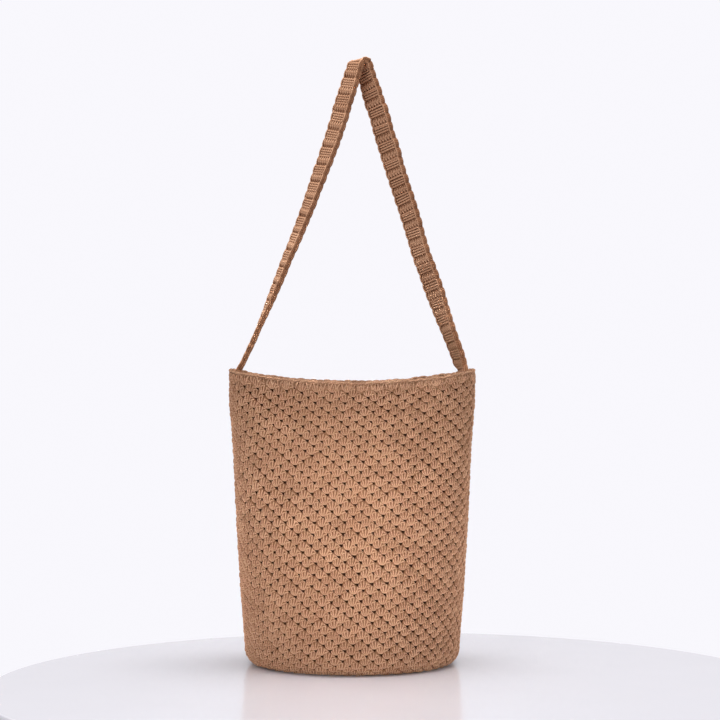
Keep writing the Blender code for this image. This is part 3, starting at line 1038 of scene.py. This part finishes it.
class CROCHET_OT_wall(bpy.types.Operator):
    """Crochet the rounds of the wall, in bands from the foot to the rim"""

    bl_idname = "crochet.wall"
    bl_label = "Wall rounds"

    def execute(self, context):
        scene = context.scene
        gauge = scene.tote_stitches
        chart = Chart()
        for strands, share, segments, sides in FAN_LAYERS:
            chart.strands(strands, share * gauge.strand, segments, sides)
        width = gauge.wall_spacing / MM + FAN_MAT_SPARE[0]
        chart.mat((width, gauge.row_height + FAN_MAT_SPARE[1]), FAN_PIT, FAN_LEVELS)
        stitch = chart.make("wall_stitch")
        guide, rows = wall_guide(scene.tote_shape, gauge)
        tree = make_rows_tree()
        yarn = yarn_material("wall_yarn", scene.tote_yarn, scene.tote_yarn.hollow)
        row_height = gauge.row_height * MM
        height = (rows + ROWS_BELOW + ROWS_ABOVE) * row_height
        for band in range(WALL_BANDS):
            first = rows * band // WALL_BANDS
            piece = crochet(
                f"wall_rounds_{band + 1}",
                tree,
                stitch=stitch,
                yarn=yarn,
                guide=guide,
                count=gauge.wall_count,
                rows=rows * (band + 1) // WALL_BANDS - first,
                first_row=first,
                spacing=gauge.wall_spacing,
                row_height=row_height,
                stagger=gauge.stagger,
                guide_start=(0.0, -ROWS_BELOW * row_height, 0.0),
                guide_size=(gauge.wall_count * gauge.wall_spacing, height, 1.0),
                **unevenness(gauge, BAND_SEED * band),
            )
            dress(piece, "bag_wall")
        put_away(stitch, guide)
        return {"FINISHED"}


class CROCHET_OT_rim(bpy.types.Operator):
    """Crochet the chain edging round the mouth"""

    bl_idname = "crochet.rim"
    bl_label = "Rim chain"

    def execute(self, context):
        scene = context.scene
        gauge = scene.tote_stitches
        chart = Chart()
        chart.strands(LINK_STRANDS, LINK_RADIUS, segments=4, sides=6, least_lift=LINK_LIFT)
        chart.strands(LINK_POSTS, LINK_RADIUS, segments=2)
        chart.mat(LINK_MAT, LINK_PIT, LINK_LEVELS, LINK_MAT_PLACE)
        stitch = chart.make("rim_stitch")
        guide = rim_guide(scene.tote_shape)
        piece = crochet(
            "rim_chain",
            make_rows_tree(),
            stitch=stitch,
            yarn=yarn_material("edging_yarn", scene.tote_yarn, 0.5 * scene.tote_yarn.gap),
            guide=guide,
            count=gauge.link_count,
            rows=1,
            spacing=LINK_SPACING,
            row_height=RIM_REACH,
            guide_start=(0.0, -RIM_REACH, 0.0),
            guide_size=(gauge.link_count * LINK_SPACING, 2 * RIM_REACH, 1.0),
            **unevenness(gauge, RIM_SEED),
        )
        dress(piece, "rim_edging")
        put_away(stitch, guide)
        return {"FINISHED"}


class CROCHET_OT_strap(bpy.types.Operator):
    """Crochet the shoulder strap in short rows"""

    bl_idname = "crochet.strap"
    bl_label = "Shoulder strap"

    def execute(self, context):
        scene = context.scene
        shape, strap, gauge = scene.tote_shape, scene.tote_strap, scene.tote_stitches
        guide, length = strap_guide(shape, strap)
        repeats = round(length / strap.repeat)
        stretch = repeats * strap.repeat / length
        chart = Chart()
        half = strap.repeat / MM / 2
        for place in STRAP_PLACES:
            for face, rise in ((1.0, 0.0), (-1.0, half)):
                legs = shifted(STRAP_LEGS, place, rise, face=face)
                chart.strands(legs, gauge.strand)
                # On the back, bars past the end of the repeat stand one repeat lower.
                bars = shifted(STRAP_BARS[:1], place, rise, face=face)
                bars += shifted(STRAP_BARS[1:], place, -rise, face=face)
                chart.strands(bars, BAR_SHARE * gauge.strand, segments=2)
                mat = (STRAP_MAT_WIDTH, half + STRAP_MAT_SPARE)
                chart.mat(mat, STRAP_PIT, STRAP_LEVELS, (place, rise))
        for side in (-1.0, 1.0):
            for face in (-1.0, 1.0):
                border = shifted(STRAP_BORDER, side=side, face=face)
                chart.strands(border, BORDER_RADIUS, least_lift=BORDER_LIFT)
            edge = shifted(STRAP_EDGE, side=side)
            chart.strands(edge, EDGE_RADIUS, segments=2, least_lift=BORDER_LIFT)
        stitch = chart.make("strap_stitch")
        size = (2 * STRAP_REACH * strap.width, (length + 2 * GUIDE_SPARE) * stretch, 1.0)
        piece = crochet(
            "strap_band",
            make_rows_tree(),
            stitch=stitch,
            yarn=yarn_material("strap_yarn", scene.tote_yarn, scene.tote_yarn.gap),
            guide=guide,
            count=1,
            rows=repeats,
            spacing=1.0,
            row_height=strap.repeat,
            guide_start=(-STRAP_REACH * strap.width, -GUIDE_SPARE * stretch, 0.0),
            guide_size=size,
            joined=False,
            **unevenness(gauge, STRAP_SEED, STRAP_EVENNESS),
        )
        dress(piece, "strap")
        put_away(stitch, guide)
        return {"FINISHED"}


def add_light(name, power, size, place, target, spread):
    """A soft round light that looks at a point and isn't seen itself."""
    light = bpy.data.lights.new(name, "AREA")
    light.energy = power
    light.shape = "DISK"
    light.size = size
    light.spread = math.radians(spread)
    item = add_object(name, light)
    item.visible_camera = False
    item.location = place
    direction = Vector(target) - Vector(place)
    item.rotation_euler = direction.to_track_quat("-Z", "Y").to_euler()


class CROCHET_OT_studio(bpy.types.Operator):
    """Set up the floor, the soft lights and the camera"""

    bl_idname = "crochet.studio"
    bl_label = "Studio"

    def execute(self, context):
        scene = context.scene
        studio = scene.tote_studio
        self.make_floor(studio)
        world = bpy.data.worlds.new("pale_room")
        world.use_nodes = True
        tree = world.node_tree
        background = tree.nodes["Background"]
        background.inputs[0].default_value = (*studio.backdrop, 1.0)
        seen = add_node(tree, "ShaderNodeLightPath").outputs["Is Camera Ray"]
        strength = add_node(tree, "ShaderNodeMapRange", {0: seen, 3: studio.room_light, 4: 1.0})
        tree.links.new(strength.outputs[0], background.inputs[1])
        scene.world = world
        for name, setting, *rest in LIGHTS:
            add_light(name, getattr(studio, setting), *rest)
        camera = bpy.data.cameras.new("photo_camera")
        camera.lens = studio.focal
        camera.sensor_width = 36.0
        camera.shift_y = VIEW_SHIFT_PIXELS / PHOTO_WIDTH
        camera.clip_start = 0.05
        item = add_object("photo_camera", camera)
        item.location = CAMERA_PLACE
        item.rotation_euler = (math.pi / 2, 0.0, 0.0)
        scene.camera = item
        scene.view_settings.view_transform = "Standard"
        return {"FINISHED"}

    def make_floor(self, studio):
        """A round, pale, satin floor under the bag."""
        points = []
        for share, height in FLOOR_EDGE:
            reach = share * studio.floor_radius
            for step in range(FLOOR_STEPS):
                angle = 2 * math.pi * step / FLOOR_STEPS
                x = FLOOR_CENTRE[0] + reach * math.cos(angle)
                y = FLOOR_CENTRE[1] + reach * math.sin(angle)
                points.append((x, y, height))
        faces = ring_faces(0, len(FLOOR_EDGE), FLOOR_STEPS)
        mesh = bpy.data.meshes.new("floor")
        mesh.from_pydata(points, [], faces)
        material, tree, shader = new_material("satin_floor")
        shader.inputs["Base Color"].default_value = (*studio.floor, 1.0)
        coordinates = add_node(tree, "ShaderNodeTexCoord").outputs["Object"]
        noise = result(tree, "ShaderNodeTexNoise", {0: coordinates, 2: FLOOR_NOISE})
        values = {0: noise, 3: FLOOR_ROUGHNESS[0], 4: FLOOR_ROUGHNESS[1]}
        rough = result(tree, "ShaderNodeMapRange", values)
        tree.links.new(rough, shader.inputs["Roughness"])
        mesh.materials.append(material)
        item = add_object("floor", mesh)


OPERATORS = (CROCHET_OT_base, CROCHET_OT_wall, CROCHET_OT_rim, CROCHET_OT_strap, CROCHET_OT_studio)
SETTINGS = (
    ("tote_shape", ToteShape),
    ("tote_strap", ToteStrap),
    ("tote_stitches", ToteStitches),
    ("tote_yarn", ToteYarn),
    ("tote_studio", ToteStudio),
)


class CROCHET_PT_tote(bpy.types.Panel):
    """Settings and steps of the tote bag"""

    bl_idname = "CROCHET_PT_tote"
    bl_label = "Crochet tote bag"
    bl_space_type = "VIEW_3D"
    bl_region_type = "UI"
    bl_category = "Tote"

    def draw(self, context):
        for name, group in SETTINGS:
            box = self.layout.box()
            box.label(text=group.__doc__.rstrip("."))
            settings = getattr(context.scene, name)
            for key in group.__annotations__:
                box.prop(settings, key)
        for operator in OPERATORS:
            self.layout.operator(operator.bl_idname)


def register():
    """Make the settings, the steps and the panel known to Blender."""
    for name, group in SETTINGS:
        bpy.utils.register_class(group)
        setattr(bpy.types.Scene, name, bpy.props.PointerProperty(type=group))
    for operator in OPERATORS:
        bpy.utils.register_class(operator)
    bpy.utils.register_class(CROCHET_PT_tote)


def unregister():
    """Take everything out again."""
    bpy.utils.unregister_class(CROCHET_PT_tote)
    for operator in reversed(OPERATORS):
        bpy.utils.unregister_class(operator)
    for name, group in reversed(SETTINGS):
        delattr(bpy.types.Scene, name)
        bpy.utils.unregister_class(group)


def main():
    """Make the whole bag and its studio."""
    register()
    bpy.ops.crochet.studio()
    bpy.ops.crochet.base()
    bpy.ops.crochet.wall()
    bpy.ops.crochet.rim()
    bpy.ops.crochet.strap()


if __name__ == "__main__":
    main()
